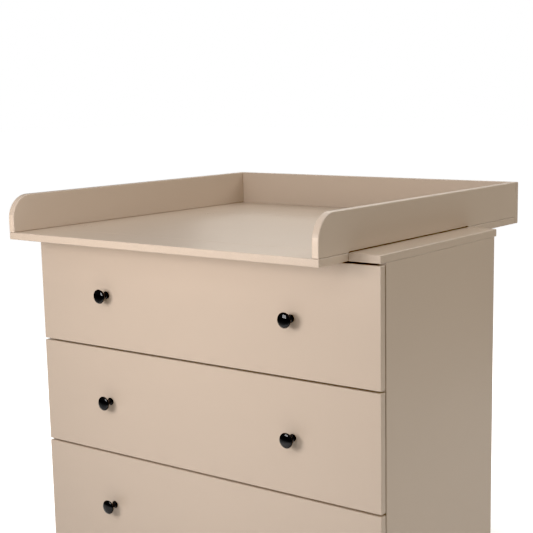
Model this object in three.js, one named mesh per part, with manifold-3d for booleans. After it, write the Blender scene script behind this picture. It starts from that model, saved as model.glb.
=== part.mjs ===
// A changing table: a chest of three drawers with a lift-off changing frame on its top.
//
// Millimetres, +Z up. The drawers open towards -Y and the left side is -X. The origin is on
// the floor, under the middle of the whole footprint. Inside the chest group, y = 0 is the
// front face of the closed drawers and z = 0 is the floor.

import * as THREE from 'three';
import { mergeVertices } from 'three/addons/utils/BufferGeometryUtils.js';
import Module from 'manifold-3d';

const wasm = await Module();
wasm.setup();

// ---------------------------------------------------------------- driving dimensions

// Chest
const chestWidth = 920;
const chestDepth = 474;         // drawer fronts to the rear edge of the top
const surfaceHeight = 850;      // floor to the changing surface, which is the chest's top
const plinthHeight = 107.5;     // floor to the underside of the bottom panel
const plinthRecess = 30;        // plinth behind the front edges of the side panels
const board = 16;               // carcass and changing frame
const backBoard = 3;
const backInset = 2;            // back panel in from the outer faces of the side panels
const topOverhang = 10;         // top past the rear edges of the side panels
const topRailHeight = 70;       // cross rail under the rear of the top

// Feet
const glideMargin = 1;          // glide in from the two faces of its side panel
const glideHeight = 5;
const glideInset = 40;          // from the front and rear edges of a side panel

// Drawers
const drawerCount = 3;
const frontBoard = 16;
const frontSeat = 3;            // gap behind a closed front
const gapUnderTop = 4;
const gapBetweenFronts = 4;
const bottomReveal = 1;         // lowest front's edge above the underside of the bottom panel
const boxBoard = 12;            // drawer sides and back
const bottomBoard = 3;
const boxDepth = 420;           // drawer sides, front to rear
const boxRise = 22;             // a front's lower edge to the lower edge of its box
const boxDrop = 33;             // a front's upper edge to the upper edge of its box
const grooveRise = 10;          // a box's lower edge to the groove for its bottom
const grooveDepth = 5;

// Ball-bearing runners: one steel channel on the carcass, a smaller one on the drawer
const runnerLength = 400;
const runnerSetback = 3;
const runnerSpace = 12.8;       // carcass side to drawer side
const runnerHeight = 45;
const runnerSheet = 1.2;
const runnerRise = 70;          // a box's lower edge to the middle of its runner
const ballGap = 4.8;            // between the two channels' flanges
const tipGap = 1.5;             // from one channel's flange tips to the other's web

// Knobs
const knobSpacing = 506;
const knobHeadDiameter = 32;
const knobFlangeDiameter = 17;
const knobNeckDiameter = 9;
const knobRimReach = 23;        // drawer front to the widest part of the head
const knobReach = 28;           // drawer front to the tip of the head
const knobBoreDepth = 15;
const screwDiameter = 4;
const screwHeadDiameter = 8.5;
const screwHeadHeight = 2.5;
const screwGrip = 12;           // how far a knob screw reaches into its knob

// Changing frame
const frameWidth = 838;
const frameDepth = 825.5;
const frameOverhang = 98;       // past the drawer fronts
const frameShift = -28.7;       // the frame's middle from the chest's middle
const railHeight = 81.8;        // above the changing surface
const railRadius = 52;          // upper front corner of a side rail

// Clearances
const touch = 0.3;              // between pieces that are fastened or rest together
const frameFit = 0.5;           // changing frame to the front and rear edges of the top
const grooveFit = 0.3;          // drawer bottom in its groove
const boreFit = 0.3;            // knob screw in its holes, on the radius

// ---------------------------------------------------------------- worked-out dimensions

const topUnderside = surfaceHeight - board;
const sideFront = frontBoard + frontSeat;
const sideRear = chestDepth - topOverhang;
const halfWidth = chestWidth / 2;
const innerHalf = halfWidth - board;

const lowestFront = plinthHeight + bottomReveal;
const frontStack = topUnderside - gapUnderTop - lowestFront;
const frontHeight = (frontStack - (drawerCount - 1) * gapBetweenFronts) / drawerCount;

const boxHalf = innerHalf - runnerSpace;
const boxTop = frontHeight - boxDrop;
const boxRear = frontBoard + boxDepth;
const grooveFloor = boxRise + grooveRise;
const grooveHeight = bottomBoard + 2 * grooveFit;
const bottomTop = grooveFloor + grooveFit + bottomBoard;
const runnerMiddle = boxRise + runnerRise;
const runnerLip = runnerSpace - 2 * touch - runnerSheet - tipGap;
const innerRunnerHeight = runnerHeight - 2 * (runnerSheet + ballGap);

const frameRear = frameDepth - frameOverhang;
const backRailFront = frameRear - board;
const footprintMiddle = (frameRear - frameOverhang) / 2;

// ---------------------------------------------------------------- materials

const lacquer = { color: 0xcdb7a2, roughness: 0.5, metalness: 0 };
const drawerBoard = { color: 0xd8c8b6, roughness: 0.6, metalness: 0 };
const hardboard = { color: 0xc9b49d, roughness: 0.7, metalness: 0 };
const zincSteel = { color: 0xb4b6b8, roughness: 0.35, metalness: 1 };
const blackGloss = { color: 0x08080a, roughness: 0.12, metalness: 0 };
const darkPlastic = { color: 0x2a2826, roughness: 0.6, metalness: 0 };

// ---------------------------------------------------------------- building helpers

const axisX = new THREE.Vector3(1, 0, 0);
const axisY = new THREE.Vector3(0, 1, 0);
const axisZ = new THREE.Vector3(0, 0, 1);
const alongX = new THREE.Matrix4().makeBasis(axisY, axisZ, axisX);
const alongMinusY = new THREE.Matrix4().makeBasis(axisX, axisZ, axisY.clone().negate());

function addMesh(group, name, geometry, finish) {
  const mesh = new THREE.Mesh(geometry, new THREE.MeshStandardMaterial(finish));
  mesh.name = name;
  group.add(mesh);
  return mesh;
}

// A rectangular board between two values on each axis.
function addBoard(group, name, finish, [x0, x1], [y0, y1], [z0, z1]) {
  const geometry = new THREE.BoxGeometry(x1 - x0, y1 - y0, z1 - z0);
  const mesh = addMesh(group, name, geometry, finish);
  mesh.position.set((x0 + x1) / 2, (y0 + y1) / 2, (z0 + z1) / 2);
  return mesh;
}

// An (x, z) outline drawn out from front to rear.
function addProfile(group, name, finish, outline, front, rear) {
  const geometry = new THREE.ExtrudeGeometry(outline, { depth: rear - front, bevelEnabled: false });
  const mesh = addMesh(group, name, geometry, finish);
  mesh.quaternion.setFromRotationMatrix(alongMinusY);
  mesh.position.y = rear;
  return mesh;
}

// Points on a quarter or more of an ellipse, angles in degrees.
function arc(centreX, centreY, radiusX, radiusY, from, to, steps) {
  return Array.from({ length: steps + 1 }, (_, i) => {
    const angle = THREE.MathUtils.degToRad(from + ((to - from) * i) / steps);
    const x = centreX + radiusX * Math.cos(angle);
    const y = centreY + radiusY * Math.sin(angle);
    return new THREE.Vector2(x, y);
  });
}

function toSolid(geometry) {
  const bare = geometry.clone();
  bare.deleteAttribute('normal');
  bare.deleteAttribute('uv');
  const merged = mergeVertices(bare);
  const vertProperties = new Float32Array(merged.attributes.position.array);
  const triVerts = new Uint32Array(merged.index.array);
  return new wasm.Manifold(new wasm.Mesh({ numProp: 3, vertProperties, triVerts }));
}

function cut(geometry, tools) {
  let solid = toSolid(geometry);
  for (const tool of tools) {
    solid = solid.subtract(toSolid(tool));
  }
  const mesh = solid.getMesh();
  const result = new THREE.BufferGeometry();
  result.setAttribute('position', new THREE.BufferAttribute(mesh.vertProperties, 3));
  result.setIndex(new THREE.BufferAttribute(mesh.triVerts, 1));
  result.computeVertexNormals();
  return result;
}

const sides = [
  { name: 'left', sign: -1 },
  { name: 'right', sign: 1 },
];

// A span on one side of the middle, in rising order.
function span(sign, near, far) {
  return sign < 0 ? [-far, -near] : [near, far];
}

// ---------------------------------------------------------------- carcass

function addCarcass(chest) {
  for (const { name, sign } of sides) {
    const x = span(sign, innerHalf, halfWidth);
    const z = [glideHeight + touch, topUnderside - touch];
    addBoard(chest, `side_panel_${name}`, lacquer, x, [sideFront, sideRear], z);
    addGlides(chest, name, sign);
  }
  const between = [-innerHalf + touch, innerHalf - touch];
  const plinthZ = [glideHeight + touch, plinthHeight];
  const plinthFront = sideFront + plinthRecess;
  const bottomZ = [plinthHeight + touch, plinthHeight + board];
  const topRailZ = [topUnderside - touch - topRailHeight, topUnderside - touch];
  const rearBoardY = [sideRear - board, sideRear];
  addBoard(chest, 'top_panel', lacquer, [-halfWidth, halfWidth], [0, chestDepth],
    [topUnderside, surfaceHeight]);
  addBoard(chest, 'bottom_panel', lacquer, between, [sideFront, sideRear], bottomZ);
  addBoard(chest, 'plinth_front', lacquer, between, [plinthFront, plinthFront + board], plinthZ);
  addBoard(chest, 'plinth_rear', lacquer, between, rearBoardY, plinthZ);
  addBoard(chest, 'top_rail', lacquer, between, rearBoardY, topRailZ);

  const backX = [-halfWidth + backInset, halfWidth - backInset];
  const backY = [sideRear + touch, sideRear + touch + backBoard];
  addBoard(chest, 'back_panel', hardboard, backX, backY, [plinthHeight, topUnderside - touch]);
}

// A nail-in glide under each end of a side panel, with a chamfered foot.
function addGlides(chest, name, sign) {
  const radius = board / 2 - glideMargin;
  const chamfer = glideHeight / 4;
  const profile = [
    new THREE.Vector2(0, 0),
    new THREE.Vector2(radius - chamfer, 0),
    new THREE.Vector2(radius, chamfer),
    new THREE.Vector2(radius, glideHeight),
    new THREE.Vector2(0, glideHeight),
  ];
  const ends = { front: sideFront + glideInset, rear: sideRear - glideInset };
  for (const [end, y] of Object.entries(ends)) {
    const geometry = new THREE.LatheGeometry(profile, 24);
    const mesh = addMesh(chest, `glide_${end}_${name}`, geometry, darkPlastic);
    mesh.rotation.x = Math.PI / 2;
    mesh.position.set(sign * (halfWidth - board / 2), y, 0);
  }
}

// ---------------------------------------------------------------- runners

// A steel channel with its web at x = 0, open towards the given side.
function channelOutline(height, openTo, x, z) {
  const half = height / 2;
  const lip = openTo * runnerLip;
  const web = openTo * runnerSheet;
  const corners = [
    [0, -half], [lip, -half], [lip, -half + runnerSheet], [web, -half + runnerSheet],
    [web, half - runnerSheet], [lip, half - runnerSheet], [lip, half], [0, half],
  ];
  return new THREE.Shape(corners.map(([cx, cz]) => new THREE.Vector2(x + cx, z + cz)));
}

function addCabinetRunners(chest, number, base) {
  const front = sideFront + runnerSetback;
  for (const { name, sign } of sides) {
    const x = sign * (innerHalf - touch);
    const outline = channelOutline(runnerHeight, -sign, x, base + runnerMiddle);
    addProfile(chest, `cabinet_runner_${number}_${name}`, zincSteel, outline, front,
      front + runnerLength);
  }
}

function addDrawerRunners(drawer, prefix) {
  const front = frontBoard + runnerSetback;
  for (const { name, sign } of sides) {
    const x = sign * (boxHalf + touch);
    const outline = channelOutline(innerRunnerHeight, sign, x, runnerMiddle);
    addProfile(drawer, `${prefix}_runner_${name}`, zincSteel, outline, front,
      front + runnerLength);
  }
}

// ---------------------------------------------------------------- knobs

// A round knob with a base flange, a waisted neck, a lens-shaped head and a blind bore.
function knobGeometry() {
  const headRadius = knobHeadDiameter / 2;
  const flangeRadius = knobFlangeDiameter / 2;
  const neckRadius = knobNeckDiameter / 2;
  const boreRadius = screwDiameter / 2 + boreFit;
  const bead = 1.3;
  const flangeTop = touch + 2 * bead;
  const waist = flangeRadius - bead - neckRadius;
  const underside = 4.5;
  const flare = 3;
  const flareOut = 5;
  const flareStart = knobRimReach - underside - flare;
  const undersideEdge = neckRadius + flareOut;
  const profile = [
    new THREE.Vector2(0, knobBoreDepth),
    new THREE.Vector2(boreRadius, knobBoreDepth),
    new THREE.Vector2(boreRadius, touch),
    ...arc(flangeRadius - bead, touch + bead, bead, bead, -90, 90, 4),
    ...arc(neckRadius + waist, flangeTop + waist, waist, waist, 270, 180, 3).slice(1),
    ...arc(undersideEdge, flareStart, flareOut, flare, 180, 90, 3),
    ...arc(undersideEdge, knobRimReach, headRadius - undersideEdge, underside, -90, 0, 4).slice(1),
    ...arc(0, knobRimReach, headRadius, knobReach - knobRimReach, 0, 84, 4).slice(1),
    new THREE.Vector2(0, knobReach),
  ];
  return new THREE.LatheGeometry(profile, 24);
}

// A pan-head machine screw through the front, from inside the drawer.
function knobScrewGeometry() {
  const shank = screwDiameter / 2;
  const head = screwHeadDiameter / 2;
  const seat = frontBoard + touch;
  const profile = [
    new THREE.Vector2(0, -screwGrip),
    new THREE.Vector2(shank, -screwGrip),
    new THREE.Vector2(shank, seat),
    new THREE.Vector2(head, seat),
    new THREE.Vector2(head, seat + screwHeadHeight / 2),
    new THREE.Vector2(head * 0.7, seat + screwHeadHeight),
    new THREE.Vector2(0, seat + screwHeadHeight),
  ];
  return new THREE.LatheGeometry(profile, 16);
}

function addKnobs(drawer, prefix) {
  for (const { name, sign } of sides) {
    const x = (sign * knobSpacing) / 2;
    const knob = addMesh(drawer, `${prefix}_knob_${name}`, knobGeometry(), blackGloss);
    knob.rotation.x = Math.PI;
    knob.position.set(x, 0, frontHeight / 2);
    const screw = addMesh(drawer, `${prefix}_knob_screw_${name}`, knobScrewGeometry(), zincSteel);
    screw.position.set(x, 0, frontHeight / 2);
  }
}

// ---------------------------------------------------------------- drawers

// The front: a full-width board, bored for its knobs and grooved behind for the bottom.
function frontGeometry() {
  const slab = new THREE.BoxGeometry(chestWidth, frontBoard, frontHeight);
  slab.translate(0, frontBoard / 2, frontHeight / 2);
  const past = 1;
  const holes = sides.map(({ sign }) => {
    const radius = screwDiameter / 2 + boreFit;
    const hole = new THREE.CylinderGeometry(radius, radius, frontBoard + 2 * past, 16);
    hole.translate((sign * knobSpacing) / 2, frontBoard / 2, frontHeight / 2);
    return hole;
  });
  const groove = new THREE.BoxGeometry(2 * boxHalf, grooveDepth + past, grooveHeight);
  groove.translate(0, frontBoard - grooveDepth + (grooveDepth + past) / 2,
    grooveFloor + grooveHeight / 2);
  return cut(slab, [...holes, groove]);
}

// A drawer side's section, grooved on its inner face.
function drawerSideOutline(sign) {
  const outer = boxHalf;
  const inner = boxHalf - boxBoard;
  const depth = inner + grooveDepth;
  const corners = [
    [outer, boxRise], [outer, boxTop], [inner, boxTop], [inner, grooveFloor + grooveHeight],
    [depth, grooveFloor + grooveHeight], [depth, grooveFloor], [inner, grooveFloor],
    [inner, boxRise],
  ];
  return new THREE.Shape(corners.map(([x, z]) => new THREE.Vector2(sign * x, z)));
}

function addDrawer(chest, number, base) {
  const prefix = `drawer_${number}`;
  const drawer = new THREE.Group();
  drawer.position.z = base;
  chest.add(drawer);

  addMesh(drawer, `${prefix}_front`, frontGeometry(), lacquer);
  for (const { name, sign } of sides) {
    addProfile(drawer, `${prefix}_side_${name}`, drawerBoard, drawerSideOutline(sign),
      frontBoard + touch, boxRear);
  }
  const backHalf = boxHalf - boxBoard - touch;
  const bottomHalf = boxHalf - boxBoard + grooveDepth - grooveFit;
  addBoard(drawer, `${prefix}_back`, drawerBoard, [-backHalf, backHalf],
    [boxRear - boxBoard, boxRear], [bottomTop + touch, boxTop]);
  addBoard(drawer, `${prefix}_bottom`, hardboard, [-bottomHalf, bottomHalf],
    [frontBoard - grooveDepth + grooveFit, boxRear],
    [grooveFloor + grooveFit, bottomTop]);
  addDrawerRunners(drawer, prefix);
  addKnobs(drawer, prefix);
}

// ---------------------------------------------------------------- changing frame

// A side rail's (y, z) outline, with a round upper front corner.
function railOutline() {
  const front = -frameOverhang;
  const rear = backRailFront - touch;
  const outline = new THREE.Shape([
    new THREE.Vector2(rear, touch),
    new THREE.Vector2(rear, railHeight),
    ...arc(front + railRadius, railHeight - railRadius, railRadius, railRadius, 90, 180, 12),
    new THREE.Vector2(front, touch),
  ]);
  return outline;
}

function addChangingFrame(chest) {
  const frame = new THREE.Group();
  frame.position.set(frameShift, 0, surfaceHeight);
  chest.add(frame);

  const half = frameWidth / 2;
  const width = [-half, half];
  addBoard(frame, 'frame_front_board', lacquer, width, [-frameOverhang, -frameFit], [-board, 0]);
  addBoard(frame, 'frame_rear_board', lacquer, width,
    [chestDepth + frameFit, backRailFront - touch], [-board, 0]);
  addBoard(frame, 'back_rail', lacquer, width, [backRailFront, frameRear], [-board, railHeight]);
  for (const { name, sign } of sides) {
    const geometry = new THREE.ExtrudeGeometry(railOutline(), { depth: board, bevelEnabled: false });
    const rail = addMesh(frame, `side_rail_${name}`, geometry, lacquer);
    rail.quaternion.setFromRotationMatrix(alongX);
    rail.position.x = sign < 0 ? -half : half - board;
  }
}

// ---------------------------------------------------------------- assembly

const changingTable = new THREE.Group();
const chest = new THREE.Group();
chest.position.y = -footprintMiddle;
changingTable.add(chest);

addCarcass(chest);
for (let number = 1; number <= drawerCount; number += 1) {
  const base = lowestFront + (drawerCount - number) * (frontHeight + gapBetweenFronts);
  addCabinetRunners(chest, number, base);
  addDrawer(chest, number, base);
}
addChangingFrame(chest);

export default changingTable;
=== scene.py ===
# %% [markdown]
# # A changing table
#
# A chest of three drawers stands in a nursery, and a changing frame lies on its top: a board in
# front of the top, a board behind it, a low rail on each side and a rail along the back. The
# chest's own top is the middle of the changing surface. All the boards outside are MDF with a
# beige satin lacquer, and the six round knobs are glossy black.
#
# The sizes come from a CAD model, which is loaded first and is never moved or resized. Each board
# is then built again between the corners of its CAD node, with the soft edges, the grooves and
# the fastenings that a joiner would give it, and takes the node's place in the picture.

import math
from contextlib import contextmanager

import bmesh
import bpy
from mathutils import Matrix, Vector


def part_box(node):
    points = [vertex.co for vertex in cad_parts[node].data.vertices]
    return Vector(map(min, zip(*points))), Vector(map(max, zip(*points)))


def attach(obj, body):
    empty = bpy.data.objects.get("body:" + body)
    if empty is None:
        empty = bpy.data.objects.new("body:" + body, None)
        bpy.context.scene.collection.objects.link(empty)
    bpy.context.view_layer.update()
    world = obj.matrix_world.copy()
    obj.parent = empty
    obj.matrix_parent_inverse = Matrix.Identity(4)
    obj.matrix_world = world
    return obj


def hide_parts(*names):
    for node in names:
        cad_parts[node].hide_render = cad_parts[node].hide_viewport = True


MM = 0.001

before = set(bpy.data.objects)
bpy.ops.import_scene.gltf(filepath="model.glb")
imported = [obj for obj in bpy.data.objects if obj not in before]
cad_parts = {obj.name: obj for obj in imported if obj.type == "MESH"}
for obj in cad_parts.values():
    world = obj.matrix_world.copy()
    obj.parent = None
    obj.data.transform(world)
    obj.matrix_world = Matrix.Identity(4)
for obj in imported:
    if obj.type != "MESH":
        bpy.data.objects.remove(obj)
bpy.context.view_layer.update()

# %% [markdown]
# ## Camera
#
# The camera stands to the right of the chest, a little above the changing surface, and looks
# down slightly. It is set from the angles of a tripod's head: how far it is turned round the
# object, how far it tips down and how far it leans. A long lens, about 77 mm on a 36 mm
# sensor, keeps the upright edges nearly parallel. The small shift moves the picture on the
# sensor without turning the camera, so no upright edge tilts.

# %% Camera
CAMERA_PLACE = Vector((1.5551, -2.0694, 1.1428))
CAMERA_TURN = math.radians(35.576)
CAMERA_TIP = math.radians(9.310)
CAMERA_LEAN = math.radians(-0.782)

camera_data = bpy.data.cameras.new("camera")
camera_data.sensor_width = 36
camera_data.lens = 76.93
camera_data.shift_x = -0.0814
camera_data.shift_y = 0.0273
camera = bpy.data.objects.new("camera", camera_data)
bpy.context.scene.collection.objects.link(camera)
camera.matrix_world = (
    Matrix.Translation(CAMERA_PLACE)
    @ Matrix.Rotation(CAMERA_TURN, 4, "Z")
    @ Matrix.Rotation(math.radians(90) - CAMERA_TIP, 4, "X")
    @ Matrix.Rotation(CAMERA_LEAN, 4, "Z")
)
bpy.context.scene.camera = camera
print("camera looks along", camera.matrix_world.to_3x3() @ Vector((0, 0, -1)))

# %% [markdown]
# ## Shader maths
#
# A finish is easier to read as a sum than as a chain of nodes. `Varying` wraps the output of a
# node and gives it the signs + and *, so that `0.25 + 0.08 * cloud` adds its own Math nodes.
# `Finish` holds one material. Its method `node` makes any other node: it sets the node's
# settings first, and then the values or links of its sockets. What is the same all over a
# surface is set on the shader itself.

# %% The shader maths helpers
class Varying:
    """A number, colour or vector that changes over a surface."""

    def __init__(self, finish, socket):
        self.finish = finish
        self.socket = socket

    def maths(self, operation, first, second):
        settings = {"operation": operation}
        return self.finish.node("ShaderNodeMath", settings, {0: first, 1: second})

    def __add__(self, other):
        return self.maths("ADD", self, other)

    def __radd__(self, other):
        return self.maths("ADD", other, self)

    def __mul__(self, other):
        return self.maths("MULTIPLY", self, other)

    def __rmul__(self, other):
        return self.maths("MULTIPLY", other, self)


class Finish:
    """One material on the Principled shader, and the record's slot that it belongs to."""

    def __init__(self, name, slot, **constants):
        self.slot = slot
        self.material = bpy.data.materials.new(name)
        self.material.use_nodes = True
        self.tree = self.material.node_tree
        self.shader = self.tree.nodes["Principled BSDF"]
        for socket, value in constants.items():
            self.shader.inputs[socket.replace("_", " ")].default_value = value

    def node(self, kind, settings=None, values=None, output=0):
        """A new node with its settings made and its sockets filled, as a varying value."""
        made = self.tree.nodes.new(kind)
        for name, value in (settings or {}).items():
            setattr(made, name, value)
        for name, value in (values or {}).items():
            if isinstance(value, Varying):
                self.tree.links.new(value.socket, made.inputs[name])
            else:
                made.inputs[name].default_value = value
        return Varying(self, made.outputs[output])

    def place(self, stretch=(1, 1, 1)):
        """The point on the piece, in metres, with each axis stretched."""
        point = self.node("ShaderNodeTexCoord", output="Object")
        return self.node("ShaderNodeMapping", None, {"Vector": point, "Scale": stretch})

    def noise(self, size, detail=2, stretch=(1, 1, 1)):
        """Cloudy noise from about 0.3 to 0.7, with lumps of this size in metres."""
        values = {"Vector": self.place(stretch), "Scale": 1 / size, "Detail": detail}
        return self.node("ShaderNodeTexNoise", None, values)

    def ramp(self, value, low, high):
        """Nought below low, one above high and a smooth rise between."""
        settings = {"interpolation_type": "SMOOTHSTEP"}
        values = {"Value": value, "From Min": low, "From Max": high}
        return self.node("ShaderNodeMapRange", settings, values)

    def blend(self, factor, first, second):
        """A mix of two colours."""
        values = {0: factor, 6: first, 7: second}
        return self.node("ShaderNodeMix", {"data_type": "RGBA"}, values, output=2)

    def bump(self, height, depth):
        """Relief that is this many metres deep from height 0 to height 1."""
        values = {"Height": height, "Distance": depth, "Strength": 1.0}
        self.wire("Normal", self.node("ShaderNodeBump", None, values))

    def wire(self, socket, value):
        """Let a varying value feed a socket of the shader."""
        self.tree.links.new(value.socket, self.shader.inputs[socket])


def tone(colour, brightness):
    """A colour made this many times as bright, with full alpha."""
    return (*(channel * brightness for channel in colour[:3]), 1.0)


# %% [markdown]
# ## Satin lacquer
#
# The boards are MDF, sealed and sprayed twice with a beige satin lacquer. Up close such a coat
# isn't flat: it dries in shallow dimples about 2 mm apart, which painters call orange peel, and
# it is a touch glossier where it lay thicker. Both come from noise in the piece's own
# coordinates, so they keep their real size on every board. The milled edges of MDF drink more
# lacquer than the faces, so they dry grainier. The long front edge of the changing frame has a
# finish for that, which is also painted 3% lighter: painted light, for the key lamp close in
# front of it. The front ends of its side rails have a lacquer painted 18% paler, which is
# painted light too, where that lamp falls brighter on them.

# %% Satin lacquer
BEIGE = (0.545, 0.433, 0.336, 1.0)
CLOUDINESS = 0.015


def satin_lacquer(name, colour, peel_size, peel_depth, mottle):
    """Lacquer with broad clouds in its tone, and with dimples that differ in tone by a mottle."""
    lacquer = Finish(name, "lacquered_board", Specular_IOR_Level=0.5)
    cloud = lacquer.noise(180 * MM, detail=3)
    peel = lacquer.noise(peel_size, detail=3)
    grain = lacquer.ramp(peel, 0.3, 0.7)
    low, high = 1 - CLOUDINESS, 1 + CLOUDINESS
    deep = lacquer.blend(cloud, tone(colour, low - mottle), tone(colour, high - mottle))
    pale = lacquer.blend(cloud, tone(colour, low + mottle), tone(colour, high + mottle))
    lacquer.wire("Base Color", lacquer.blend(grain, deep, pale))
    lacquer.wire("Roughness", 0.25 + 0.08 * cloud + 0.04 * grain)
    lacquer.bump(peel, peel_depth)
    return lacquer


face_lacquer = satin_lacquer("satin_lacquer", BEIGE,
                             peel_size=2.2 * MM, peel_depth=0.03 * MM, mottle=0.004)
# The edge lacquer is grainier, which is real, and 3% lighter, which is painted light for the key
# lamp close in front of that edge.
grainy_edge_lacquer_painted_lighter = satin_lacquer("grainy_satin_lacquer_painted_lighter_on_edges", tone(BEIGE, 1.03),
                             peel_size=1.8 * MM, peel_depth=0.25 * MM, mottle=0.04)
# The rail ends' lacquer is painted 18% paler: painted light where the near key lamp falls brighter
# on them.
rail_end_lacquer_painted_lighter = satin_lacquer("satin_lacquer_painted_lighter_on_rail_ends", tone(BEIGE, 1.18),
                            peel_size=1.8 * MM, peel_depth=0.15 * MM, mottle=0.03)
print("finishes", [lacquer.material.name for lacquer in (face_lacquer, grainy_edge_lacquer_painted_lighter, rail_end_lacquer_painted_lighter)])

# %% [markdown]
# ## Boards inside: foil and hardboard
#
# The drawer boxes are cheaper board, wrapped in a matt cream foil with a fine printed grain that
# runs along the board. Their bottoms and the back of the chest are 3 mm hardboard, painted on
# the face: small pressed fibres show through as short flecks.

# %% Foil and hardboard
FOIL_CREAM = (0.640, 0.555, 0.460, 1.0)
HARDBOARD_BEIGE = (0.560, 0.455, 0.355, 1.0)

foil = Finish("grained_foil", "drawer_board", Specular_IOR_Level=0.35)
foil_grain = foil.ramp(foil.noise(1.2 * MM, detail=4, stretch=(1, 0.04, 1)), 0.35, 0.65)
foil_bands = foil.noise(14 * MM, detail=2, stretch=(1, 0.08, 1))
foil_tone = foil.blend(foil_grain, tone(FOIL_CREAM, 0.955), tone(FOIL_CREAM, 1.02))
foil.wire("Base Color", foil.blend(foil_bands, foil_tone, tone(FOIL_CREAM, 1.0)))
foil.wire("Roughness", 0.55 + 0.08 * foil_grain)
foil.bump(foil_grain, 0.02 * MM)

hardboard = Finish("painted_hardboard", "hardboard", Specular_IOR_Level=0.3)
fibre = hardboard.ramp(hardboard.noise(1.6 * MM, detail=5), 0.38, 0.62)
patch = hardboard.noise(90 * MM, detail=2)
pressed = hardboard.blend(fibre, tone(HARDBOARD_BEIGE, 0.93), tone(HARDBOARD_BEIGE, 1.03))
hardboard.wire("Base Color", hardboard.blend(patch, pressed, tone(HARDBOARD_BEIGE, 1.0)))
hardboard.wire("Roughness", 0.66 + 0.1 * fibre)
hardboard.bump(fibre, 0.05 * MM)

# %% [markdown]
# ## Steel, gloss black and plastic
#
# The runners and screws are zinc plated: a bright metal with a faint blotchy spangle, and fine
# lines along the way the sheet was rolled. The knobs are lacquered high-gloss black, so almost
# all that is seen of them is reflection. The cover caps are beige plastic, and the glides under
# the feet are dark, finely grained plastic.

# %% Steel, gloss black and plastic
zinc = Finish("zinc_plated_steel", "zinc_steel", Metallic=1.0)
spangle = zinc.noise(7 * MM, detail=1)
rolled = zinc.noise(0.8 * MM, detail=3, stretch=(1, 0.02, 1))
zinc.wire("Base Color", zinc.blend(spangle, (0.56, 0.57, 0.58, 1), (0.74, 0.745, 0.75, 1)))
zinc.wire("Roughness", 0.20 + 0.16 * spangle + 0.12 * rolled)
zinc.bump(rolled, 0.01 * MM)

gloss_black = Finish("gloss_black", "black_gloss", Specular_IOR_Level=0.75)
sheen = gloss_black.noise(6 * MM, detail=2)
gloss_black.wire("Base Color",
                 gloss_black.blend(sheen, (0.002, 0.002, 0.0025, 1), (0.004, 0.004, 0.0045, 1)))
gloss_black.wire("Roughness", 0.05 + 0.05 * sheen)
gloss_black.bump(sheen, 0.01 * MM)


def moulded_plastic(name, slot, colour):
    """Plastic from a mould that was etched with a fine grain."""
    plastic = Finish(name, slot)
    pits = plastic.ramp(plastic.noise(0.7 * MM, detail=3), 0.35, 0.65)
    plastic.wire("Base Color", plastic.blend(pits, tone(colour, 0.93), tone(colour, 1.05)))
    plastic.wire("Roughness", 0.48 + 0.12 * pits)
    plastic.bump(pits, 0.03 * MM)
    return plastic


dark_plastic = moulded_plastic("dark_plastic", "dark_plastic", (0.035, 0.031, 0.028, 1))
beige_plastic = moulded_plastic("beige_plastic", "lacquered_board", BEIGE)
print(len(bpy.data.materials), "materials")

# %% [markdown]
# ## Modelling by hand, in code
#
# Every piece starts as a primitive and is worked in edit mode, as at the screen. An operator acts
# on whatever is selected, so each helper first clears the selection, and faces or edges are then
# picked by where they are or which way they look.

# %% Selecting and editing helpers
def select_only(piece):
    """Make this piece the only one selected, and the active one."""
    bpy.ops.object.select_all(action="DESELECT")
    piece.select_set(True)
    bpy.context.view_layer.objects.active = piece


@contextmanager
def editing(piece):
    """Edit mode for one piece, with nothing in it selected yet."""
    select_only(piece)
    bpy.ops.object.mode_set(mode="EDIT")
    bpy.ops.mesh.select_all(action="DESELECT")
    yield
    bpy.ops.object.mode_set(mode="OBJECT")


def pick_faces(piece, wanted):
    """Select the faces whose middle and normal pass the test."""
    bpy.ops.mesh.select_mode(type="FACE")
    bpy.ops.mesh.select_all(action="DESELECT")
    mesh = bmesh.from_edit_mesh(piece.data)
    mesh.normal_update()
    for face in mesh.faces:
        if wanted(face.calc_center_median(), face.normal):
            face.select_set(True)
    bmesh.update_edit_mesh(piece.data)


def pick_edges(piece, wanted):
    """Select the edges whose middle and two face normals pass the test."""
    bpy.ops.mesh.select_mode(type="EDGE")
    bpy.ops.mesh.select_all(action="DESELECT")
    mesh = bmesh.from_edit_mesh(piece.data)
    mesh.normal_update()
    for edge in mesh.edges:
        middle = (edge.verts[0].co + edge.verts[1].co) / 2
        if wanted(middle, [face.normal for face in edge.link_faces]):
            edge.select_set(True)
    bmesh.update_edit_mesh(piece.data)


# %% [markdown]
# ## A board with soft edges
#
# A board is a cube primitive between the two corners of its CAD node. Its open edges are rounded
# to 2 mm, as a joiner does before spraying, because a sharp edge holds no lacquer. Where it meets
# another board the edge is only eased by 0.8 mm, so that the joint shows as a narrow line.
# Bevelled boards shade with dark smears across their faces unless the big faces win the argument
# over the normals, which is what the Weighted Normal modifier is for.

# %% Board helpers
ROUND = 2 * MM
EASE = 0.8 * MM
SMOOTH_UP_TO = math.radians(50)
SHARP_FROM = math.radians(60)
SIDES = {
    "left": Vector((-1, 0, 0)), "right": Vector((1, 0, 0)),
    "front": Vector((0, -1, 0)), "rear": Vector((0, 1, 0)),
    "under": Vector((0, 0, -1)), "top": Vector((0, 0, 1)),
}


def looks(normal, side):
    """Whether a face looks to this side, give or take eight degrees."""
    return normal.dot(SIDES[side]) > 0.99


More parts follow.
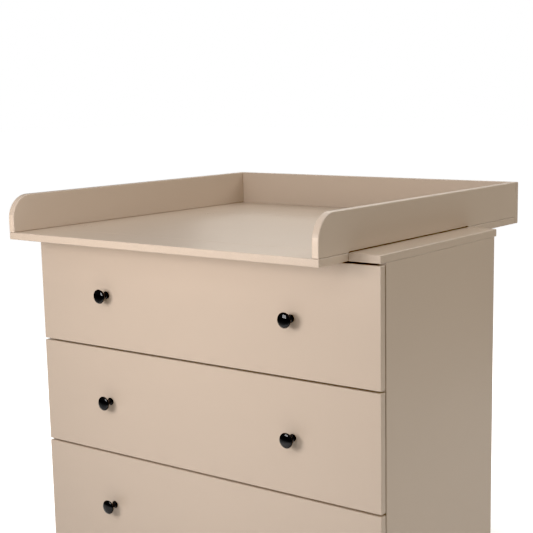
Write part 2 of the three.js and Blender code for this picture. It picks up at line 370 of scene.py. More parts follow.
def add_block(name, low, high):
    """A cube primitive between two corners, with its place and size put into its mesh."""
    bpy.ops.object.select_all(action="DESELECT")
    bpy.ops.mesh.primitive_cube_add(size=1, location=(low + high) / 2, scale=high - low)
    block = bpy.context.object
    block.name = name
    block.data.name = name
    bpy.ops.object.transform_apply(location=True, rotation=True, scale=True)
    return block


def round_edges(piece, radius, segments, wanted=None):
    """Round the edges that pass the test, or else every edge that is still sharp."""
    with editing(piece):
        if wanted:
            pick_edges(piece, wanted)
        else:
            bpy.ops.mesh.select_mode(type="EDGE")
            bpy.ops.mesh.edges_select_sharp(sharpness=SHARP_FROM)
        bpy.ops.mesh.bevel(offset=radius, segments=segments, profile=0.5)


def settle(piece):
    """Shade all but the sharp edges smooth, and let the largest faces set the normals."""
    select_only(piece)
    bpy.ops.object.shade_smooth_by_angle(angle=SMOOTH_UP_TO)
    even = piece.modifiers.new("even shading", "WEIGHTED_NORMAL")
    even.keep_sharp = True
    bpy.ops.object.modifier_apply(modifier=even.name)


def soft_board(name, low, high, joints=(), radius=ROUND):
    """A board whose open edges are round and whose edges at a joint are only eased."""
    board = add_block(name, low, high)

    def is_open(middle, normals):
        return not any(looks(normal, side) for normal in normals for side in joints)

    round_edges(board, radius, 4, is_open)
    round_edges(board, EASE, 2)
    return board


def give(piece, body, finish, *nodes):
    """Finish a piece, let it ride on its body and let it stand for its CAD nodes."""
    if not piece.data.materials:
        piece.data.materials.append(finish.material)
    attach(piece, body)
    if nodes:
        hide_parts(*nodes)
    return piece


def milled_edge(board, side, finish):
    """Give the faces on one side another finish: the grainier lacquer of a milled edge, here
    painted lighter as painted light.
    """
    board.data.materials.append(finish.material)
    with editing(board):
        pick_faces(board, lambda middle, normal: looks(normal, side))
        board.active_material_index = len(board.data.materials) - 1
        bpy.ops.object.material_slot_assign()


def board_for(node, body, joints=(), finish=face_lacquer, radius=ROUND):
    """The finished board that stands for one CAD node."""
    low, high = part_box(node)
    board = soft_board(f"{node}_board", low, high, joints, radius)
    settle(board)
    return give(board, body, finish, node)


# %% [markdown]
# ## Carcass
#
# Two side panels carry the top. Between them sit the bottom panel, two plinth boards and a rail
# under the rear of the top. The side panels' upper and lower ends meet other pieces, and so do
# all the ends of the cross boards.

# %% Carcass boards
CHEST = "chest"
CARCASS = {
    "side_panel_left": ("top", "under"),
    "side_panel_right": ("top", "under"),
    "bottom_panel": ("left", "right"),
    "plinth_front": ("left", "right", "top"),
    "plinth_rear": ("left", "right", "top"),
    "top_rail": ("left", "right", "top"),
}
for node, joints in CARCASS.items():
    board_for(node, CHEST, joints)
print(len(CARCASS), "carcass boards")

# %% [markdown]
# ## Top and back panel
#
# The top lies on the side panels, flush at the sides and a little past them behind. The back is a
# sheet of hardboard nailed over the rear edges.

# %% Top and back panel
board_for("top_panel", CHEST, joints=("under",))
board_for("back_panel", CHEST, finish=hardboard, radius=0.6 * MM)

# %% [markdown]
# ## Cutting grooves and holes
#
# A groove or a drilled hole is cut with a Boolean modifier: a cutter with the shape of the saw
# cut or the drill is placed, subtracted and thrown away. The cutter always reaches past the
# surface, because two faces in one plane confuse a Boolean.

# %% Cutting helpers
PAST = 2 * MM


def carve(piece, *cutters):
    """Cut these shapes out of the piece and throw them away."""
    for cutter in cutters:
        select_only(piece)
        cut = piece.modifiers.new("cut", "BOOLEAN")
        cut.operation = "DIFFERENCE"
        cut.object = cutter
        bpy.ops.object.modifier_apply(modifier=cut.name)
        bpy.data.objects.remove(cutter)


def drill(place, direction, radius, depth):
    """A cutter for a hole that starts at a surface and goes in against its direction."""
    bpy.ops.object.select_all(action="DESELECT")
    length = depth + PAST
    bpy.ops.mesh.primitive_cylinder_add(vertices=24, radius=radius, depth=length)
    bit = bpy.context.object
    aim(bit, place + direction * (PAST - length / 2), direction)
    return bit


def aim(piece, place, direction):
    """Turn a piece made along Z to look along a direction, and put it in its place."""
    turn = direction.to_track_quat("Z", "Y").to_matrix().to_4x4()
    piece.matrix_world = Matrix.Translation(place) @ turn
    select_only(piece)
    bpy.ops.object.transform_apply(location=True, rotation=True, scale=True)


def copy_of(piece, name, shift):
    """A copy with a mesh of its own, moved by a shift."""
    twin = piece.copy()
    twin.data = piece.data.copy()
    twin.name = name
    twin.data.name = name
    bpy.context.scene.collection.objects.link(twin)
    twin.data.transform(Matrix.Translation(shift))
    return twin


def join(name, pieces):
    """Several separate solids as one object."""
    select_only(pieces[0])
    for piece in pieces:
        piece.select_set(True)
    bpy.ops.object.join()
    pieces[0].name = name
    pieces[0].data.name = name
    return pieces[0]


# %% [markdown]
# ## Drawer fronts
#
# A front covers the whole width of the chest. All its edges are round, the corners too, so four
# soft lines show round each dark gap. Behind, a groove takes the drawer's bottom, and a hole goes
# through for each knob's screw. One front is shaped and copied for the other two drawers.

# %% Drawer fronts
DRAWERS = (1, 2, 3)
HANDS = ("left", "right")
GROOVE_PLAY = 0.3 * MM
SCREW_HOLE = 2.3 * MM

front_low, front_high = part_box("drawer_1_front")
thickness = front_high.y - front_low.y


def knob_middle(hand):
    """Where the axis of a knob of the first drawer meets the face of the front."""
    knob_low, knob_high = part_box(f"drawer_1_knob_{hand}")
    height = (front_low.z + front_high.z) / 2
    return Vector(((knob_low.x + knob_high.x) / 2, front_low.y, height))


front = soft_board("drawer_1_front_board", front_low, front_high)
bottom_low, bottom_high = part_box("drawer_1_bottom")
groove_low = Vector((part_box("drawer_1_side_left")[0].x, bottom_low.y - GROOVE_PLAY,
                     bottom_low.z - GROOVE_PLAY))
groove_high = Vector((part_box("drawer_1_side_right")[1].x, front_high.y + PAST,
                      bottom_high.z + GROOVE_PLAY))
through = [drill(knob_middle(hand), SIDES["front"], SCREW_HOLE, thickness + PAST)
           for hand in HANDS]
carve(front, add_block("groove", groove_low, groove_high), *through)
settle(front)

fronts = {1: front}
for number in DRAWERS[1:]:
    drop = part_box(f"drawer_{number}_front")[0] - front_low
    fronts[number] = copy_of(front, f"drawer_{number}_front_board", drop)
for number, piece in fronts.items():
    give(piece, f"drawer_{number}", face_lacquer, f"drawer_{number}_front")
print("front", [round(size / MM, 1) for size in front_high - front_low], "mm")

# %% [markdown]
# ## Drawer boxes
#
# Two sides, a back and a thin bottom that slides into a groove in the sides and the front. The
# foil wraps over the upper edges, so they are rounder than a sawn board's.

# %% Drawer boxes
WRAP = 1.2 * MM


def groove_in_side(number):
    """A cutter along the whole side, as high as the bottom with some play."""
    bottom_low, bottom_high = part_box(f"drawer_{number}_bottom")
    side_low, side_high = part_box(f"drawer_{number}_side_left")
    along = Vector((0, PAST, GROOVE_PLAY))
    start = Vector((bottom_low.x - GROOVE_PLAY, side_low.y, bottom_low.z)) - along
    end = Vector((bottom_high.x + GROOVE_PLAY, side_high.y, bottom_high.z)) + along
    return add_block("groove", start, end)


for number in DRAWERS:
    drawer = f"drawer_{number}"
    for hand in HANDS:
        side_low, side_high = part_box(f"{drawer}_side_{hand}")
        side = soft_board(f"{drawer}_side_{hand}_board", side_low, side_high, ("front",), WRAP)
        carve(side, groove_in_side(number))
        settle(side)
        give(side, drawer, foil, f"{drawer}_side_{hand}")
    board_for(f"{drawer}_back", drawer, ("left", "right", "under"), foil, WRAP)
    board_for(f"{drawer}_bottom", drawer, finish=hardboard, radius=0.4 * MM)
print("drawer box", [round(size / MM, 1) for size in side_high - side_low], "mm a side")

# %% [markdown]
# ## Turned pieces
#
# Knobs, screw heads and glides are round, so they are turned: half an outline is drawn as a chain
# of vertices, each extruded from the last, and the chain is spun about its axis. The ends of the
# outline lie on the axis, where the spun copies are merged into one point.

# %% Turning helpers
def arc(centre, radii, start, end, steps):
    """Points on part of an ellipse, with the angles in degrees."""
    points = []
    for step in range(steps + 1):
        angle = math.radians(start + (end - start) * step / steps)
        points.append((centre[0] + radii[0] * math.cos(angle),
                       centre[1] + radii[1] * math.sin(angle)))
    return points


def turned(name, outline, steps):
    """Spin an outline of (radius, height) points about Z. It starts and ends on the axis."""
    bpy.ops.object.select_all(action="DESELECT")
    bpy.ops.mesh.primitive_plane_add(size=MM)
    piece = bpy.context.object
    piece.name = name
    piece.data.name = name
    bpy.ops.object.mode_set(mode="EDIT")
    bpy.ops.mesh.select_mode(type="VERT")
    bpy.ops.mesh.select_all(action="SELECT")
    bpy.ops.mesh.merge(type="CENTER")
    at = Vector((0, 0, 0))
    for index, (radius, height) in enumerate(outline):
        step = Vector((radius, 0, height)) - at
        if index == 0:
            bpy.ops.transform.translate(value=step)
        else:
            bpy.ops.mesh.extrude_region_move(TRANSFORM_OT_translate={"value": step})
        at += step
    bpy.ops.mesh.select_all(action="SELECT")
    bpy.ops.mesh.spin(steps=steps, angle=math.tau, center=(0, 0, 0), axis=(0, 0, 1))
    bpy.ops.mesh.select_all(action="SELECT")
    bpy.ops.mesh.remove_doubles(threshold=0.001 * MM)
    bpy.ops.mesh.normals_make_consistent(inside=False)
    bpy.ops.object.mode_set(mode="OBJECT")
    return piece


# %% [markdown]
# ## Knobs
#
# A small beaded flange sits on the drawer front, a waisted neck rises from it, and the head
# spreads out like a lens, about 32 mm across. The neck's flare and the underside of the head are
# parts of ellipses, which keeps the reflections running without a kink. A blind hole takes the
# screw. One knob is turned and copied to all six places.

# %% Knobs
KNOB_GAP = 0.3 * MM
HOLE_DEPTH = 15 * MM
BEAD = 1.3 * MM
FLANGE = 8.5 * MM
NECK = 4.5 * MM
WAIST = FLANGE - BEAD - NECK
RIM_REACH = 23 * MM
UNDERSIDE = 4.5 * MM
FLARE = (5 * MM, 3 * MM)

knob_low, knob_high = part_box("drawer_1_knob_left")
knob_reach = front_low.y - knob_low.y
head = (knob_high.z - knob_low.z) / 2
flange_top = KNOB_GAP + 2 * BEAD
flare_start = RIM_REACH - UNDERSIDE - FLARE[1]
under_edge = NECK + FLARE[0]
outline = [
    (0, HOLE_DEPTH),
    (SCREW_HOLE, HOLE_DEPTH),
    (SCREW_HOLE, KNOB_GAP),
    *arc((FLANGE - BEAD, KNOB_GAP + BEAD), (BEAD, BEAD), -90, 90, 8),
    *arc((NECK + WAIST, flange_top + WAIST), (WAIST, WAIST), 270, 180, 8)[1:],
    *arc((under_edge, flare_start), FLARE, 180, 90, 8),
    *arc((under_edge, RIM_REACH), (head - under_edge, UNDERSIDE), -90, 0, 10)[1:],
    *arc((0, RIM_REACH), (head, knob_reach - RIM_REACH), 0, 87, 18)[1:],
    (0, knob_reach),
]
knob = turned("drawer_1_knob_left_turned", outline, steps=72)
aim(knob, knob_middle("left"), SIDES["front"])
settle(knob)

for number in DRAWERS:
    for hand in HANDS:
        node = f"drawer_{number}_knob_{hand}"
        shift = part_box(node)[0] - knob_low
        give(copy_of(knob, f"{node}_turned", shift), f"drawer_{number}", gloss_black, node)
bpy.data.objects.remove(knob)
print("knob heads", round(2 * head / MM, 1), "mm across")

# %% [markdown]
# ## Screws
#
# A screw is turned too: a pointed shank, then a head that is a low dome or, where it has to lie
# flush, a cone. Its cross-shaped recess is cut with two thin blocks. A screw is made standing on
# its seat at the origin, and a copy is then aimed at its place.

# %% Screw helpers
POINT = 1.5 * MM
RECESS_SPAN = 1.1


def cross_cutters(top, head, depth):
    """Two crossed blocks that cut a driver's recess into a head of this radius."""
    reach = head * RECESS_SPAN
    blade = reach / 4
    size = Vector((reach, blade, depth + PAST)) / 2
    middle = Vector((0, 0, top + (PAST - depth) / 2))
    blocks = []
    for half in (size, Vector((size.y, size.x, size.z))):
        blocks.append(add_block("recess", middle - half, middle + half))
    return blocks


def domed_screw(name, shank, length, head, rise):
    """A screw whose domed head stands above its seat at height 0."""
    rim = rise * 0.4
    piece = turned(name, [
        (0, -length), (shank, -length + POINT), (shank, 0), (head * 0.97, 0),
        *arc((0, rim), (head, rise - rim), 0, 90, 6),
    ], steps=24)
    carve(piece, *cross_cutters(rise, head, rise * 0.7))
    settle(piece)
    return piece


def flush_screw(name, shank, length, head, sink):
    """A screw whose conical head lies in a countersink, just under height 0."""
    cone = head - shank
    piece = turned(name, [
        (0, -length), (shank, -length + POINT), (shank, -sink - cone), (head, -sink - 0.3 * MM),
        (head - 0.2 * MM, -sink), (0, -sink),
    ], steps=24)
    carve(piece, *cross_cutters(-sink, head, 1.6 * MM))
    settle(piece)
    return piece


def set_out(pattern, name, places, direction):
    """Copies of a pattern at several places, all facing one way, as one piece."""
    copies = []
    for place in places:
        copies.append(copy_of(pattern, name, Vector()))
        aim(copies[-1], place, direction)
    return join(name, copies)


# %% [markdown]
# ## Knob screws
#
# Each knob is held by an M4 machine screw from inside the drawer.

# %% Knob screws
HEAD_RISE = 2.5 * MM

knob_screw_low, knob_screw_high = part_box("drawer_1_knob_screw_left")
knob_screw = domed_screw("knob_screw", shank=2 * MM, head=4.25 * MM, rise=HEAD_RISE,
                         length=knob_screw_high.y - knob_screw_low.y - HEAD_RISE)
for number in DRAWERS:
    for hand in HANDS:
        node = f"drawer_{number}_knob_screw_{hand}"
        screw_low, screw_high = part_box(node)
        seat = (screw_low + screw_high) / 2
        seat.y = screw_high.y - HEAD_RISE
        give(set_out(knob_screw, f"{node}_turned", [seat], SIDES["rear"]),
             f"drawer_{number}", zinc, node)
bpy.data.objects.remove(knob_screw)
print("knob screws", round((knob_screw_high.y - knob_screw_low.y) / MM, 1), "mm long")

# %% [markdown]
# ## Drawer runners
#
# A drawer hangs on two ball-bearing runners. Each is a pair of steel channels, one inside the
# other: sheet bent into a U, with a small lip along each edge. A block gives the U when its open
# side and its ends are deleted, its two folded edges are rounded, and the Solidify modifier gives
# the sheet its thickness. Two rows of balls in a bent cage run between the channels, near the
# front, where the channels still overlap when the drawer is open.

# %% Runner channels
SHEET = 1.2 * MM
LIP = 1.2 * MM
FOLD = 0.8 * LIP
SCREWS_ALONG = (37 * MM, 197 * MM, 357 * MM)
SMALL_HOLE = 2.2 * MM
LARGE_HOLE = 4 * MM


def bent_channel(name, low, high, opens, sheet, fold, lip=0):
    """A U-shaped strip of sheet along Y, open to the left or to the right."""
    channel = add_block(name, low, high)
    with editing(channel):
        pick_faces(channel, lambda middle, normal: looks(normal, opens)
                   or looks(normal, "front") or looks(normal, "rear"))
        bpy.ops.mesh.delete(type="FACE")
        if lip:
            centre = (low.z + high.z) / 2
            for inward in (-1, 1):
                pick_edges(channel, lambda middle, normals: len(normals) == 1
                           and abs(middle.y - (low.y + high.y) / 2) < MM
                           and (centre - middle.z) * inward > MM)
                bpy.ops.mesh.extrude_region_move(
                    TRANSFORM_OT_translate={"value": (0, 0, inward * lip)})
        pick_edges(channel, lambda middle, normals: len(normals) == 2)
        bpy.ops.mesh.bevel(offset=fold, segments=4)
    wall = channel.modifiers.new("sheet", "SOLIDIFY")
    wall.thickness = sheet
    wall.offset = -1
    wall.use_even_offset = True
    select_only(channel)
    bpy.ops.object.modifier_apply(modifier=wall.name)
    return channel


def add_runner(node, body, opens):
    """The channel for one CAD node, drilled for its screws, and the screws in it."""
    low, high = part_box(node)
    channel = bent_channel(f"{node}_channel", low, high, opens, SHEET, FOLD, LIP)
    outward = SIDES[opens]
    web = high.x if opens == "left" else low.x
    face = web + outward.x * SHEET
    middle = (low.z + high.z) / 2
    places = [Vector((face, low.y + along, middle)) for along in SCREWS_ALONG]
    between = [(first + second) / 2 for first, second in zip(places, places[1:])]
    holes = [drill(place, outward, SMALL_HOLE, 2 * SHEET) for place in places]
    holes += [drill(place, outward, LARGE_HOLE, 2 * SHEET) for place in between]
    carve(channel, *holes)
    settle(channel)
    give(channel, body, zinc, node)
    give(set_out(runner_screw, f"{node}_screws", places, outward), body, zinc)


runner_screw = domed_screw("runner_screw", shank=1.7 * MM, length=12 * MM, head=3.4 * MM,
                           rise=1.2 * MM)
OPENS_FROM_CABINET = {"left": "right", "right": "left"}
for number in DRAWERS:
    for hand in HANDS:
        inward = OPENS_FROM_CABINET[hand]
        add_runner(f"cabinet_runner_{number}_{hand}", CHEST, inward)
        add_runner(f"drawer_{number}_runner_{hand}", f"drawer_{number}", hand)
bpy.data.objects.remove(runner_screw)
print("runners", 2 * len(DRAWERS) * len(HANDS))

# %% [markdown]
# ## Ball cages
#
# Between the two channels' flanges run the balls, held apart by a thin bent cage. A ball is an
# icosphere with few faces, because there are nearly a hundred of them. One cage is built between
# the channels of the first runner and copied to the others.

# %% Ball cages
CAGE_SHEET = 0.5 * MM
CAGE_FOLD = 1 * MM
BALL = 2.1 * MM
BALLS_A_ROW = 8
BALL_STEP = 11 * MM
CAGE_START = 6 * MM
WEB_GAP, TIP_GAP = 0.6 * MM, 1.5 * MM


def cage_pattern(hand):
    """The cage and balls in the first drawer's runner on one side."""
    outer_low, outer_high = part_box(f"cabinet_runner_1_{hand}")
    inner_low, inner_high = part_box(f"drawer_1_runner_{hand}")
    inward = OPENS_FROM_CABINET[hand]
    away = SIDES[inward].x
    wall = outer_high.x if hand == "right" else outer_low.x
    web = wall + away * (SHEET + WEB_GAP)
    tip = wall + away * (outer_high.x - outer_low.x - TIP_GAP)
    track = (outer_high.z - SHEET + inner_high.z) / 2
    middle = (outer_low.z + outer_high.z) / 2
    start = outer_low.y + CAGE_START
    end = start + BALLS_A_ROW * BALL_STEP
    half = track - middle + CAGE_SHEET / 2
    low = Vector((min(web, tip), start, middle - half))
    high = Vector((max(web, tip), end, middle + half))
    parts = [bent_channel("cage", low, high, inward, CAGE_SHEET, CAGE_FOLD)]
    for index in range(BALLS_A_ROW):
        for side in (-1, 1):
            place = Vector(((web + tip) / 2, start + (index + 0.5) * BALL_STEP,
                            middle + side * (track - middle)))
            bpy.ops.mesh.primitive_ico_sphere_add(subdivisions=2, radius=BALL, location=place)
            bpy.ops.object.transform_apply(location=True, rotation=True, scale=True)
            bpy.ops.object.shade_smooth()
            parts.append(bpy.context.object)
    return join("cage", parts)


for hand in HANDS:
    pattern = cage_pattern(hand)
    for number in DRAWERS:
        drop = (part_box(f"cabinet_runner_{number}_{hand}")[0]
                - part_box(f"cabinet_runner_1_{hand}")[0])
        give(copy_of(pattern, f"ball_cage_{number}_{hand}", drop), CHEST, zinc)
    bpy.data.objects.remove(pattern)
print("ball cages", len(DRAWERS) * len(HANDS))

# %% [markdown]
# ## Glides
#
# A nail-in glide under each end of a side panel keeps the board off the floor. It is a turned
# plastic disc with a rounded foot.

# %% Glides
FOOT_ROUND = 1.4 * MM
CHAMFER = 0.4 * MM

glide_low, glide_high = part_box("glide_front_left")
glide_radius = (glide_high.x - glide_low.x) / 2
glide_height = glide_high.z - glide_low.z
glide = turned("glide", [
    (0, 0), *arc((glide_radius - FOOT_ROUND, FOOT_ROUND), (FOOT_ROUND, FOOT_ROUND), -90, 0, 6),
    (glide_radius, glide_height - CHAMFER), (glide_radius - CHAMFER, glide_height),
    (0, glide_height),
], steps=40)
settle(glide)
for end in ("front", "rear"):
    for hand in HANDS:
        node = f"glide_{end}_{hand}"
        low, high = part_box(node)
        place = Vector(((low.x + high.x) / 2, (low.y + high.y) / 2, low.z))
        give(copy_of(glide, f"{node}_turned", place), CHEST, dark_plastic, node)
bpy.data.objects.remove(glide)
print("glides", round(2 * glide_radius / MM, 1), "mm across")

# %% [markdown]
# ## Cover caps, nails and side screws
#
# The carcass is held by cams, which are hidden under small domed caps: inside the side panels
# near the top, and on the drawers' sides behind the fronts. The drawers' backs are held by screws
# through the sides. The back is nailed on about every 110 mm. Each fastener is turned once and
# copied to its places, which are set out from the edges of the board, as a joiner marks them.

# %% Cover caps, nails and side screws
CAP_RADIUS, CAP_RISE, CAP_RIM = 8.5 * MM, 1.2 * MM, 0.4 * MM
NAIL_RADIUS, NAIL_RISE = 2.6 * MM, 0.9 * MM
NAIL_INSET = 8 * MM
NAIL_GAPS_ACROSS, NAIL_GAPS_UP = 8, 6
PANEL_CAP_DROP, PANEL_CAP_FRONT, PANEL_CAP_REAR = 24 * MM, 50 * MM, 60 * MM
DRAWER_CAP_FRONT, SIDE_SCREW_REAR = 32 * MM, 6 * MM
LOWER_ROW, UPPER_ROW = 22 * MM, 30 * MM

cap = turned("cap", [
    (0, 0), (CAP_RADIUS, 0), (CAP_RADIUS, CAP_RIM),
    *arc((0, CAP_RIM), (CAP_RADIUS - 0.2 * MM, CAP_RISE - CAP_RIM), 0, 90, 8),
], steps=32)
settle(cap)
nail = turned("nail", [
    (0, 0), (NAIL_RADIUS, 0), *arc((0, 0), (NAIL_RADIUS, NAIL_RISE), 0, 90, 5),
], steps=16)
settle(nail)
side_screw = domed_screw("side_screw", shank=2 * MM, length=30 * MM, head=3.5 * MM,
                         rise=0.8 * MM)

for hand in HANDS:
    low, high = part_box(f"side_panel_{hand}")
    inward = SIDES[OPENS_FROM_CABINET[hand]]
    face = low.x if hand == "right" else high.x
    places = [Vector((face, y, high.z - PANEL_CAP_DROP))
              for y in (low.y + PANEL_CAP_FRONT, (low.y + high.y) / 2, high.y - PANEL_CAP_REAR)]
    give(set_out(cap, f"side_panel_{hand}_caps", places, inward), CHEST, beige_plastic)

for number in DRAWERS:
    for hand in HANDS:
        low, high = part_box(f"drawer_{number}_side_{hand}")
        face = high.x if hand == "right" else low.x
        heights = (low.z + LOWER_ROW, high.z - UPPER_ROW)
        drawer = f"drawer_{number}"
        caps = [Vector((face, low.y + DRAWER_CAP_FRONT, height)) for height in heights]
        give(set_out(cap, f"{drawer}_side_{hand}_caps", caps, SIDES[hand]), drawer, beige_plastic)
        screws = [Vector((face, high.y - SIDE_SCREW_REAR, height)) for height in heights]
        give(set_out(side_screw, f"{drawer}_side_{hand}_screws", screws, SIDES[hand]), drawer,
             zinc)


def nail_line(start, end, gaps):
    """Even steps between two edges of the back, with a nail's inset at both ends."""
    first, last = start + NAIL_INSET, end - NAIL_INSET
    return [first + (last - first) * step / gaps for step in range(gaps + 1)]


low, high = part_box("back_panel")
across = nail_line(low.x, high.x, NAIL_GAPS_ACROSS)
up = nail_line(low.z, high.z, NAIL_GAPS_UP)
places = [Vector((x, high.y, z)) for x in across for z in (up[0], up[-1])]
places += [Vector((x, high.y, z)) for z in up[1:-1] for x in (across[0], across[-1])]
give(set_out(nail, "back_panel_nails", places, SIDES["rear"]), CHEST, zinc)
bpy.data.objects.remove(cap)
bpy.data.objects.remove(nail)
bpy.data.objects.remove(side_screw)
print(len(places), "nails in the back")

# %% [markdown]
# ## Changing frame
#
# Two boards carry on the chest's top, one in front and one behind, and the rails stand on them.
# Screws from underneath and from behind hold it together, each let into a conical seat that a
# countersink bit leaves. The front board's long edge is milled, so its faces get the grainier
# lacquer, which is also painted a little lighter as painted light for the key lamp in front.

# %% Front board, rear board and back rail
FRAME = "changing_frame"
COUNTERSINK = 3.9 * MM
SINK = 0.4 * MM
FRONT_BOARD_SCREWS = (30 * MM, 20 * MM)
REAR_BOARD_SCREWS = (40 * MM, 40 * MM)
BACK_RAIL_SCREWS = (35 * MM, 20 * MM)
frame_screw = flush_screw("frame_screw", shank=2 * MM, length=40 * MM, head=3.7 * MM, sink=SINK)


def countersunk(piece, places, direction):
    """Sink a conical seat for a screw at each place."""
    length = COUNTERSINK + PAST
    seats = []
    for place in places:
        bpy.ops.object.select_all(action="DESELECT")
        bpy.ops.mesh.primitive_cone_add(vertices=32, radius1=0, radius2=length, depth=length)
        seat = bpy.context.object
        aim(seat, place + direction * (length / 2 - COUNTERSINK), direction)
        seats.append(seat)
    carve(piece, *seats)


def screwed_board(node, places, direction, joints=()):
    """A board of the frame with screws let in to one of its faces."""
    low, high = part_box(node)
    board = soft_board(f"{node}_board", low, high, joints)
    countersunk(board, places, direction)
    settle(board)
    give(board, FRAME, face_lacquer, node)
    give(set_out(frame_screw, f"{node}_screws", places, direction), FRAME, zinc)
    return board


rail_middles = [sum(corner.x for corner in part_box(f"side_rail_{hand}")) / 2 for hand in HANDS]

low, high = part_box("frame_front_board")
front_places = [Vector((x, y, low.z)) for x in rail_middles
                for y in (low.y + FRONT_BOARD_SCREWS[0], high.y - FRONT_BOARD_SCREWS[1])]
front_board = screwed_board("frame_front_board", front_places, SIDES["under"], ("rear",))
# The milled front edge gets the grainier lacquer, painted a little lighter as painted light.
milled_edge(front_board, "front", grainy_edge_lacquer_painted_lighter)

low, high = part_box("frame_rear_board")
rear_places = [Vector((x, y, low.z)) for x in rail_middles
               for y in (low.y + REAR_BOARD_SCREWS[0], high.y - REAR_BOARD_SCREWS[1])]
screwed_board("frame_rear_board", rear_places, SIDES["under"], ("front", "rear"))

low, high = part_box("back_rail")
rail_places = [Vector((x, high.y, z)) for x in rail_middles
               for z in (low.z + BACK_RAIL_SCREWS[0], high.z - BACK_RAIL_SCREWS[1])]
screwed_board("back_rail", rail_places, SIDES["rear"])
bpy.data.objects.remove(frame_screw)
print("frame screws", len(front_places + rear_places + rail_places))

# %% [markdown]
# ## Side rails
#
# A side rail is a board on edge whose upper front corner is cut to a quarter circle of 52 mm.
# That corner is one bevel of one edge, with enough segments to stay round. The open edges are
# rounded after it, so that their roundness runs on along the curve. The foot is eased, and a
# shallow rebate is sawn into its outer side where the rail passes over the chest's top. It leaves
# a shadow gap there, a thin dark line that hides how the rail and the top meet. The front end
# gets a lacquer of its own, painted paler: painted light where the key lamp falls brighter on it.

# %% Side rails
CORNER = 52 * MM
FOOT = 1.4 * MM
REBATE_HEIGHT, REBATE_DEPTH = 2.2 * MM, 10 * MM
RAIL_JOINTS = ("rear", "under")


def is_upper_front(middle, normals):
    return (any(looks(normal, "front") for normal in normals)
            and any(looks(normal, "top") for normal in normals))


def is_open_rail_edge(middle, normals):
    """A sharp edge that doesn't meet the back rail or the boards below."""
    at_joint = any(looks(normal, side) for normal in normals for side in RAIL_JOINTS)
    return normals[0].angle(normals[1]) > 1 and not at_joint


def is_foot_edge(middle, normals):
    return (any(looks(normal, "under") for normal in normals)
            and any(abs(normal.x) > 0.9 for normal in normals))


def rebate_cutter(low, high, hand):
    """A block that saws the shadow gap into a rail's outer foot, over the chest's top."""
    cut_low = Vector((low.x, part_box("frame_front_board")[1].y, low.z - PAST))
    cut_high = Vector((high.x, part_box("frame_rear_board")[0].y, low.z + REBATE_HEIGHT))
    if hand == "left":
        cut_low.x, cut_high.x = low.x - PAST, low.x + REBATE_DEPTH
    else:
        cut_low.x, cut_high.x = high.x - REBATE_DEPTH, high.x + PAST
    return add_block("shadow gap", cut_low, cut_high)


for hand in HANDS:
    node = f"side_rail_{hand}"
    low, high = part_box(node)
    rail = add_block(f"{node}_board", low, high)
    round_edges(rail, CORNER, 28, is_upper_front)
    round_edges(rail, ROUND, 4, is_open_rail_edge)
    round_edges(rail, FOOT, 3, is_foot_edge)
    round_edges(rail, EASE, 2)
    carve(rail, rebate_cutter(low, high, hand))
    # The bevels that meet at the front of the foot leave a doubled sliver, which this drops.
    rail.data.validate()
    settle(rail)
    give(rail, FRAME, face_lacquer, node)
    # The rail's front end gets the lacquer painted paler: painted light for the brighter lamp light
    # there.
    milled_edge(rail, "front", rail_end_lacquer_painted_lighter)
print("side rails", round((high.z - low.z) / MM, 1), "mm high")

# %% [markdown]
# ## Floor and background
#
# The object stands in a white studio sweep: a pale matt floor that runs up into a white
# background with no seam. The floor is one large plane. Close to the chest it is nearly plain
# paint, so that it takes the soft shadows, and farther out it brightens to pure white. The
# brightening, like the white world behind it, is switched by the Light Path node: it is seen by
# the camera but lights nothing, so the lamps alone model the boards. Reflections see a dim
# world, which gives the lacquer its faint sheen at a grazing angle.

# %% Floor and background
FLOOR_SIZE = 60
PLAIN_RADIUS, WHITE_RADIUS = 0.40, 0.95
NEAR_GLOW = 0.15
WORLD_IN_REFLECTIONS = 0.23

bpy.ops.object.select_all(action="DESELECT")
bpy.ops.mesh.primitive_plane_add(size=FLOOR_SIZE)
floor = bpy.context.object
floor.name = "floor"
sweep = Finish("pale_floor", None, Roughness=0.9, Specular_IOR_Level=0.1, Emission_Strength=1.0)
sweep.wire("Base Color",
           sweep.blend(sweep.noise(1.5), (0.84, 0.84, 0.84, 1), (0.86, 0.86, 0.86, 1)))
centre_distance = sweep.node("ShaderNodeVectorMath", {"operation": "LENGTH"},
                             {0: sweep.place()}, output=1)
glow = sweep.ramp(centre_distance, PLAIN_RADIUS, WHITE_RADIUS)
seen = sweep.node("ShaderNodeLightPath", output="Is Camera Ray")
sweep.wire("Emission Color",
           sweep.blend((NEAR_GLOW + (1 - NEAR_GLOW) * glow) * seen, (0, 0, 0, 1), (1, 1, 1, 1)))
floor.data.materials.append(sweep.material)

world = bpy.data.worlds.new("white studio")
bpy.context.scene.world = world
world.use_nodes = True
path = world.node_tree.nodes.new("ShaderNodeLightPath")
dimmed = world.node_tree.nodes.new("ShaderNodeMath")
dimmed.operation = "MULTIPLY_ADD"
dimmed.inputs[1].default_value = WORLD_IN_REFLECTIONS
background = world.node_tree.nodes["Background"]
background.inputs["Color"].default_value = (1, 1, 1, 1)
world.node_tree.links.new(path.outputs["Is Glossy Ray"], dimmed.inputs[0])
world.node_tree.links.new(path.outputs["Is Camera Ray"], dimmed.inputs[2])
world.node_tree.links.new(dimmed.outputs[0], background.inputs["Strength"])
print("floor", tuple(round(side, 1) for side in floor.dimensions), "m")

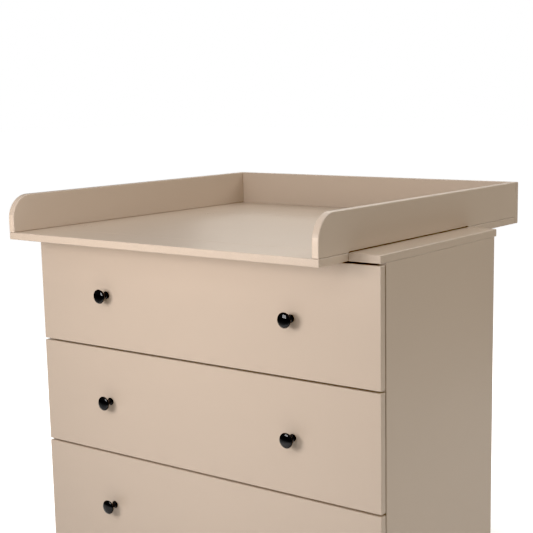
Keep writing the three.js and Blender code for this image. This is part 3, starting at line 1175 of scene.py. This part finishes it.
# %% [markdown]
# ## Lights
#
# Soft boxes do the work of a small studio. The key stands close in front of the chest, a little
# to the left and barely above the changing surface: it brightens the middle of the top drawer
# and lets the fronts fall off towards the floor. A broader one beside it softens the knobs'
# shadows. Fills keep the sides and the back readable, one large box hangs over everything, and
# two look in from behind to lift the rails. The keys and fills are hidden from reflections, because
# a bright box mirrored in satin lacquer would burn a white patch into it. The catchlight gives the
# gloss knobs their one highlight, and the boxes above and behind give the lacquer its sheen.

# %% Lights
AIM = Vector((0, -0.15, 0.72))
SOFT_BOXES = {
    # name: place, width and height in metres, watts, colour, whether reflections show it
    "key": ((-0.27, -1.60, 1.00), (0.6, 0.5), 7.9, (1.01, 1.00, 1.01), False),
    "catchlight": ((-0.29, -1.50, 0.99), (0.62, 0.54), 4.2, (1.01, 1.00, 1.01), True),
    "second_key": ((0.27, -1.47, 1.16), (1.0, 1.0), 7.4, (1.01, 1.00, 1.01), False),
    "right_fill": ((2.36, 0.05, 1.10), (1.5, 1.5), 12.8, (1.02, 1.01, 0.95), False),
    "left_fill": ((-2.36, 0.05, 1.10), (1.5, 1.5), 8.0, (1.0, 1.0, 1.0), False),
    "rear_fill": ((0.0, 2.60, 0.50), (1.5, 0.8), 9.0, (1.0, 1.0, 1.0), False),
    "overhead": ((0.0, 0.0, 3.20), (5.0, 5.0), 66.0, (1.0, 1.0, 1.0), True),
    "rear_right": ((1.00, 1.77, 2.42), (1.5, 1.5), 17.5, (1.0, 0.95, 0.88), True),
    "rear_left": ((-1.13, 2.00, 2.05), (1.5, 1.5), 9.2, (1.0, 0.93, 0.82), True),
}
for name, (place, (width, height), watts, colour, reflected) in SOFT_BOXES.items():
    bpy.ops.object.light_add(type="AREA", location=place)
    box = bpy.context.object
    box.name = name
    box.rotation_euler = (AIM - box.location).to_track_quat("-Z", "Y").to_euler()
    box.data.shape = "RECTANGLE"
    box.data.size, box.data.size_y = width, height
    box.data.energy = watts
    box.data.color = colour
    box.visible_glossy = reflected
    print(name, "at", place, watts, "W")

# %% [markdown]
# ## Tone
#
# Colours go to the screen as they are, except for a short toe at the dark end: it deepens the
# narrow gaps between the fronts, as a print does, and leaves everything brighter alone.

# %% Tone
ALL_CHANNELS = 3
TOE = {0.04: 0.010, 0.11: 0.10, 0.20: 0.20, 0.60: 0.60}

view = bpy.context.scene.view_settings
view.view_transform = "Standard"
view.use_curve_mapping = True
for brightness, shown in TOE.items():
    view.curve_mapping.curves[ALL_CHANNELS].points.new(brightness, shown)
view.curve_mapping.update()
print("toe", TOE)
